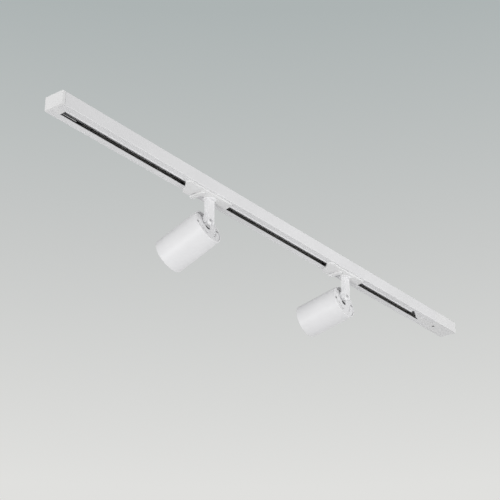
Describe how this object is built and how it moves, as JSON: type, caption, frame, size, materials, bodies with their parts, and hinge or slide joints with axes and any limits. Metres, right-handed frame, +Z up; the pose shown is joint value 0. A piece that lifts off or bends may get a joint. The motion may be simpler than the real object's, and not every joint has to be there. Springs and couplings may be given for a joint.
{
  "type": "track spotlight",
  "caption": "Ceiling lighting track with a slot below, carrying sliding, panning and tilting cylinder spotlights on lever-locked adapters.",
  "frame": {"origin": "middle of the face that lies on the ceiling, half way along the track", "axes": "+X along the track from the plain end to the feed end, +Y the way the beams point at rest, +Z up into the ceiling"},
  "size_m": [1, 0.1005, 0.1206],
  "materials": {
    "white_powder_coat": "satin white powder coat on extruded aluminium",
    "white_enamel": "semi-gloss white enamel",
    "white_plastic": "fine matt moulded polycarbonate",
    "black_insulator": "dull black extruded PVC",
    "natural_nylon": "natural nylon",
    "tinned_copper": "drawn copper with a dull tin coat",
    "brass_contact": "stamped brass",
    "steel_fastener": "zinc plated",
    "zinc_steel": "folded galvanised sheet",
    "white_ceramic": "unglazed steatite",
    "lamp_shell": "moulded lamp body with a metallised bowl",
    "lamp_glass": "clear pressed glass",
    "lead_sleeve": "silicone lead sleeve"
  },
  "bodies": {
    "track": {"track_rail": "white_powder_coat", "insulator_far": "black_insulator", "conductor_far": "tinned_copper", "insulator_near": "black_insulator", "conductor_near": "tinned_copper", "earth_strip": "tinned_copper", "end_cap": "white_plastic", "feed_housing": "white_plastic", "feed_cover": "white_plastic", "feed_screw": "steel_fastener", "terminal_block": "natural_nylon", "terminal_screws": "steel_fastener", "feed_contact_far": "brass_contact", "feed_contact_near": "brass_contact", "feed_earth_contact": "brass_contact"},
    "adapter_1": {"adapter_body_1": "white_plastic", "earth_leaf_1": "brass_contact"},
    "lever_1": {"lock_lever_1": "white_plastic", "lock_cam_1": "natural_nylon", "contact_blades_1": "brass_contact"},
    "arm_1": {"swivel_arm_1": "white_enamel", "spindle_nut_1": "steel_fastener", "pivot_pin_1": "white_enamel"},
    "head_1": {"head_tube_1": "white_enamel", "rear_cover_1": "white_enamel", "cover_screws_1": "steel_fastener", "holder_bracket_1": "zinc_steel", "lamp_holder_1": "white_ceramic", "lamp_body_1": "lamp_shell", "lamp_lens_1": "lamp_glass", "front_ring_1": "white_enamel", "lamp_leads_1": "lead_sleeve"},
    "adapter_2": {"adapter_body_2": "white_plastic", "earth_leaf_2": "brass_contact"},
    "lever_2": {"lock_lever_2": "white_plastic", "lock_cam_2": "natural_nylon", "contact_blades_2": "brass_contact"},
    "arm_2": {"swivel_arm_2": "white_enamel", "spindle_nut_2": "steel_fastener", "pivot_pin_2": "white_enamel"},
    "head_2": {"head_tube_2": "white_enamel", "rear_cover_2": "white_enamel", "cover_screws_2": "steel_fastener", "holder_bracket_2": "zinc_steel", "lamp_holder_2": "white_ceramic", "lamp_body_2": "lamp_shell", "lamp_lens_2": "lamp_glass", "front_ring_2": "white_enamel", "lamp_leads_2": "lead_sleeve"}
  },
  "joints": [
    {"name": "adapter_slide_1", "type": "slide", "parent": "track", "child": "adapter_1", "axis": [1, 0, 0], "range_m": [-0.2, 0.08]},
    {"name": "lever_turn_1", "type": "hinge", "parent": "adapter_1", "child": "lever_1", "pos_m": [-0.211, 0, -0.0236], "axis": [0, 0, 1], "range_deg": [0, 90]},
    {"name": "arm_pan_1", "type": "hinge", "parent": "adapter_1", "child": "arm_1", "pos_m": [-0.187, 0, -0.0236], "axis": [0, 0, 1], "range_deg": [-170, 170]},
    {"name": "head_tilt_1", "type": "hinge", "parent": "arm_1", "child": "head_1", "pos_m": [-0.18711, 0.0023, -0.0594], "axis": [0.9988, 0.0489, 0], "range_deg": [-67.3, 22.4]},
    {"name": "adapter_slide_2", "type": "slide", "parent": "track", "child": "adapter_2", "axis": [1, 0, 0], "range_m": [-0.08, 0.15]},
    {"name": "lever_turn_2", "type": "hinge", "parent": "adapter_2", "child": "lever_2", "pos_m": [0.1384, 0, -0.0236], "axis": [0, 0, 1], "range_deg": [0, 90]},
    {"name": "arm_pan_2", "type": "hinge", "parent": "adapter_2", "child": "arm_2", "pos_m": [0.1624, 0, -0.0236], "axis": [0, 0, 1], "range_deg": [-170, 170]},
    {"name": "head_tilt_2", "type": "hinge", "parent": "arm_2", "child": "head_2", "pos_m": [0.16234, 0.0023, -0.0594], "axis": [0.9997, 0.0244, 0], "range_deg": [-77, 12.7]}
  ]
}
